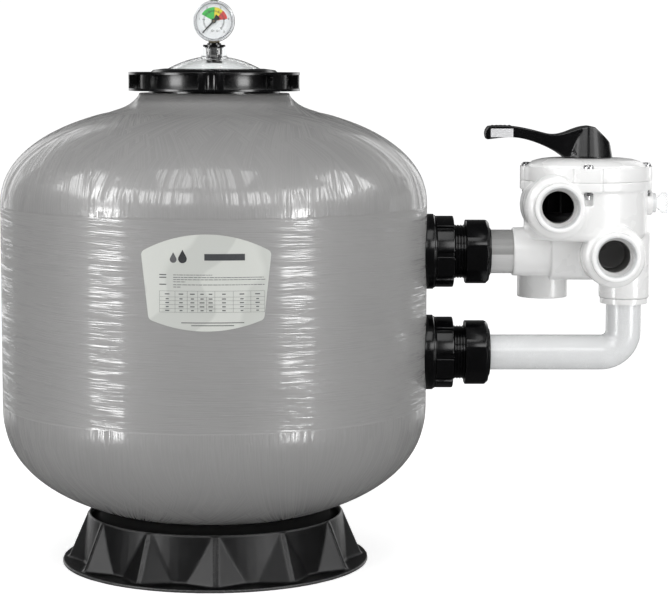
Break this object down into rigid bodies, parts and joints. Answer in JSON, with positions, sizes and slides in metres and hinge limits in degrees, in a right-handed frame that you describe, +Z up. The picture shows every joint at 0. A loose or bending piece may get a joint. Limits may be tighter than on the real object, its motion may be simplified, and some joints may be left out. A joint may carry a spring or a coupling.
{
  "type": "sand filter tank",
  "caption": "Upright domed sand filter tank on a buttressed base, with a clear screwed lid, pressure gauge, union-coupled side pipes and a multiport selector valve.",
  "frame": {"origin": "on the tank axis at floor level, at the middle of the base", "axes": "+Z up the tank axis, +X out through both wall fittings to the valve, -Y out through the label"},
  "size_m": [0.9405, 0.6004, 0.7959],
  "materials": {
    "winding": "glossy clear-coated wound fibreglass, mid grey",
    "satin_black": "satin moulded black",
    "gloss_black": "polished moulded black",
    "white_abs": "smooth moulded white",
    "white_pvc": "smooth extruded white pipe",
    "grey_pvc": "satin extruded grey pipe",
    "clear": "clear moulded plastic",
    "rubber": "black moulded rubber",
    "plug": "grey-green soft rubber",
    "steel": "stainless steel",
    "brass": "turned brass",
    "case": "silver grey moulded case",
    "dial": "white printed dial",
    "needle": "matt black pointer",
    "label": "printed silver-grey film",
    "badge": "pale inlay",
    "inner_white": "unpainted moulded plastic"
  },
  "bodies": {
    "tank": {"tank_base": "satin_black", "tank_shell": "winding", "label": "label", "neck_insert": "gloss_black", "lid_seal": "rubber", "upper_inner_pipe": "inner_white", "diffuser": "inner_white", "lower_inner_pipe": "inner_white", "lateral_hub": "inner_white", "laterals": "inner_white", "drain_spigot": "gloss_black", "drain_gasket": "rubber", "drain_nut": "gloss_black", "bulkhead_upper": "gloss_black", "inner_gasket_upper": "rubber", "saddle_upper": "gloss_black", "ring_nut_upper": "gloss_black", "union_seal_upper": "rubber", "bulkhead_lower": "gloss_black", "inner_gasket_lower": "rubber", "saddle_lower": "gloss_black", "ring_nut_lower": "gloss_black", "union_seal_lower": "rubber"},
    "lid": {"lid_dome": "clear", "gauge_adapter": "gloss_black", "adapter_seal": "rubber", "gauge_socket": "brass", "gauge_case": "case", "gauge_window": "clear", "gauge_dial": "dial", "gauge_works": "brass", "gauge_vent_plug": "plug"},
    "lock_ring": {"lock_ring": "gloss_black"},
    "needle": {"gauge_needle": "needle"},
    "valve": {"valve_body": "white_abs", "valve_lid": "white_abs", "valve_lid_seal": "rubber", "spider_seal": "rubber", "lid_screws": "steel", "lid_nuts": "steel", "sight_seal": "white_pvc", "sight_glass": "clear", "upper_stub": "grey_pvc", "return_pipe": "white_pvc", "return_ring": "white_abs", "union_tail_upper": "gloss_black", "union_tail_lower": "gloss_black", "valve_spring": "steel"},
    "drain_cap": {"drain_cap": "gloss_black"},
    "union_nut_upper": {"union_nut_upper": "gloss_black"},
    "union_nut_lower": {"union_nut_lower": "gloss_black"},
    "washer": {"thrust_washer": "inner_white"},
    "selector": {"rotor": "inner_white", "stem_seals": "rubber"},
    "handle": {"handle": "gloss_black", "handle_pin": "steel", "handle_badge": "badge"}
  },
  "joints": [
    {"name": "lid_lift", "type": "slide", "parent": "tank", "child": "lid", "axis": [0, 0, 1], "range_m": [0, 0.12]},
    {"name": "lock_ring_turn", "type": "hinge", "parent": "lid", "child": "lock_ring", "pos_m": [0, 0, 0.681], "axis": [0, 0, 1], "range_deg": [0, 540]},
    {"name": "gauge_needle_turn", "type": "hinge", "parent": "lid", "child": "needle", "pos_m": [0, -0.01, 0.765], "axis": [0, 1, 0], "range_deg": [0, 270], "stiffness_Nm_per_rad": 0.0005, "springref_deg": -17.19},
    {"name": "valve_draw", "type": "slide", "parent": "tank", "child": "valve", "axis": [1, 0, 0], "range_m": [0, 0.1]},
    {"name": "union_nut_upper_turn", "type": "hinge", "parent": "valve", "child": "union_nut_upper", "pos_m": [0.371, 0, 0.442], "axis": [1, 0, 0], "range_deg": [0, 720]},
    {"name": "union_nut_lower_turn", "type": "hinge", "parent": "valve", "child": "union_nut_lower", "pos_m": [0.371, 0, 0.298], "axis": [1, 0, 0], "range_deg": [0, 720]},
    {"name": "rotor_lift", "type": "slide", "parent": "valve", "child": "washer", "axis": [0, 0, 1], "range_m": [0, 0.003], "stiffness_N_per_m": 1500, "springref_m": -0.012, "deforming": ["valve_spring"]},
    {"name": "selector_turn", "type": "hinge", "parent": "washer", "child": "selector", "pos_m": [0.525, 0, 0.5], "axis": [0, 0, 1], "continuous": true},
    {"name": "handle_press", "type": "hinge", "parent": "selector", "child": "handle", "pos_m": [0.504, 0, 0.581], "axis": [0, -1, 0], "range_deg": [0, 15]},
    {"name": "drain_cap_turn", "type": "hinge", "parent": "tank", "child": "drain_cap", "pos_m": [0, 0.26732, 0.10209], "axis": [0, 0.6184, -0.7859], "range_deg": [0, 720]}
  ],
  "couplings": [
    {"joint": "rotor_lift", "follows": "handle_press", "m_per_rad": 0.01146}
  ]
}
